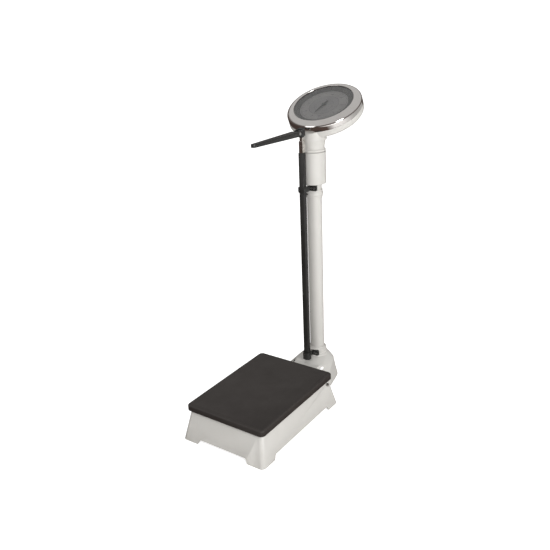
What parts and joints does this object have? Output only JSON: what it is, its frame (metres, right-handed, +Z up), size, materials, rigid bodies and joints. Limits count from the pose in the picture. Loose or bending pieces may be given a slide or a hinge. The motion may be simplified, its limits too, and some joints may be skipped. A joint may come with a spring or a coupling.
{
  "type": "physician beam scale",
  "caption": "Floor scale for weighing people: flared base with a rubber-topped platform, column with a tilted round dial head and a telescopic height rod with a folding arm.",
  "frame": {"origin": "on the floor under the centre of the object's bounding box", "axes": "+Z up the column, -Y towards the person on the platform, +X to the right of the dial as it is read"},
  "size_m": [0.2964, 0.7204, 0.9607],
  "materials": {
    "paint": "smooth light grey stoving enamel",
    "dark_paint": "satin black enamel",
    "steel": "bare or zinc-plated steel",
    "chrome": "polished chrome plate",
    "brass": "machined brass",
    "rubber": "black ribbed rubber",
    "glass": "clear flat glass",
    "dial": "brushed silver dial with printed rings",
    "spacer": "pale grey sloping ring",
    "black_plastic": "black moulded plastic",
    "needle": "black lacquered sheet",
    "cast": "dark lacquered cast iron"
  },
  "bodies": {
    "frame": {"base_housing": "paint", "foot_pads": "rubber", "fulcrum_bearings": "cast", "column_foot": "paint", "foot_bolts": "steel", "column_tube": "paint", "column_collar": "paint", "collar_screw": "dark_paint", "spring_housing": "paint", "spring_hanger": "steel", "main_spring": "steel", "neck": "paint", "head_casing": "paint", "bezel": "chrome", "dial_glass": "glass", "dial_plate": "dial", "dial_spacer": "spacer", "movement_frame": "brass", "crank_bracket": "brass", "crank_pin": "steel", "height_tube": "dark_paint", "upper_bracket": "dark_paint", "lower_bracket": "dark_paint", "bracket_screws": "steel"},
    "platform": {"platform_plate": "steel", "platform_mat": "rubber", "platform_legs": "cast"},
    "long_lever": {"long_lever": "cast", "long_lever_shafts": "steel"},
    "short_lever": {"short_lever": "cast", "short_lever_shafts": "steel"},
    "lever_link": {"lever_link": "steel"},
    "pull_rod": {"pull_rod": "steel", "rod_nut": "steel", "spring_seat": "steel"},
    "bell_crank": {"bell_crank": "brass"},
    "rack": {"rack": "brass"},
    "pointer": {"pinion": "brass", "pointer": "needle", "pointer_hub": "needle"},
    "middle_tube": {"middle_tube": "chrome"},
    "inner_rod": {"inner_rod": "chrome", "rod_head": "black_plastic", "arm_pin": "steel"},
    "measuring_arm": {"measuring_arm": "black_plastic"},
    "lock_screw": {"lock_screw": "steel"},
    "zero_knob": {"zero_knob": "black_plastic"}
  },
  "joints": [
    {"name": "platform_slide", "type": "slide", "parent": "frame", "child": "platform", "axis": [0, 0, -1], "range_m": [0, 0.0015], "stiffness_N_per_m": 1050000, "springref_m": -0.0002},
    {"name": "long_lever_fulcrum", "type": "hinge", "parent": "frame", "child": "long_lever", "pos_m": [0, -0.31813, 0.058], "axis": [1, 0, 0], "range_deg": [-1.91, 0]},
    {"name": "short_lever_fulcrum", "type": "hinge", "parent": "frame", "child": "short_lever", "pos_m": [0, 0.01187, 0.034], "axis": [1, 0, 0], "range_deg": [0, 1.91]},
    {"name": "lever_link_slide", "type": "slide", "parent": "frame", "child": "lever_link", "axis": [0, 0, -1], "range_m": [0, 0.00551]},
    {"name": "pull_rod_slide", "type": "slide", "parent": "frame", "child": "pull_rod", "axis": [0, 0, -1], "range_m": [0, 0.01643], "deforming": ["main_spring"]},
    {"name": "bell_crank_pivot", "type": "hinge", "parent": "frame", "child": "bell_crank", "pos_m": [0, 0.20587, 0.85196], "axis": [1, 0, 0], "range_deg": [0, 29.42]},
    {"name": "rack_slide", "type": "slide", "parent": "frame", "child": "rack", "axis": [0, -0.8988, -0.4384], "range_m": [0, 0.01234]},
    {"name": "pointer_arbor", "type": "hinge", "parent": "frame", "child": "pointer", "pos_m": [0, 0.23587, 0.91499], "axis": [0, -0.4384, 0.8988], "range_deg": [-336.67, 0]},
    {"name": "middle_tube_slide", "type": "slide", "parent": "frame", "child": "middle_tube", "axis": [0, 0, 1], "range_m": [0, 0.6]},
    {"name": "inner_rod_slide", "type": "slide", "parent": "middle_tube", "child": "inner_rod", "axis": [0, 0, 1], "range_m": [0, 0.6]},
    {"name": "arm_hinge", "type": "hinge", "parent": "inner_rod", "child": "measuring_arm", "pos_m": [-0.006, 0.09687, 0.8435], "axis": [1, 0, 0], "range_deg": [0, 88]},
    {"name": "lock_screw_turn", "type": "hinge", "parent": "frame", "child": "lock_screw", "pos_m": [0.13316, 0.00937, 0.083], "axis": [1, 0, 0], "range_deg": [-180, 180]},
    {"name": "zero_knob_turn", "type": "hinge", "parent": "frame", "child": "zero_knob", "pos_m": [0, 0.21187, 0.798], "axis": [0, 1, 0], "range_deg": [-150, 150]}
  ],
  "couplings": [
    {"joint": "long_lever_fulcrum", "follows": "platform_slide", "rad_per_m": -22.222},
    {"joint": "short_lever_fulcrum", "follows": "platform_slide", "rad_per_m": 22.222},
    {"joint": "lever_link_slide", "follows": "platform_slide", "ratio": 3.6667},
    {"joint": "pull_rod_slide", "follows": "platform_slide", "ratio": 10.933},
    {"joint": "bell_crank_pivot", "follows": "platform_slide", "rad_per_m": 341.67},
    {"joint": "rack_slide", "follows": "platform_slide", "ratio": 8.21},
    {"joint": "pointer_arbor", "follows": "platform_slide", "rad_per_m": -3909.5}
  ]
}
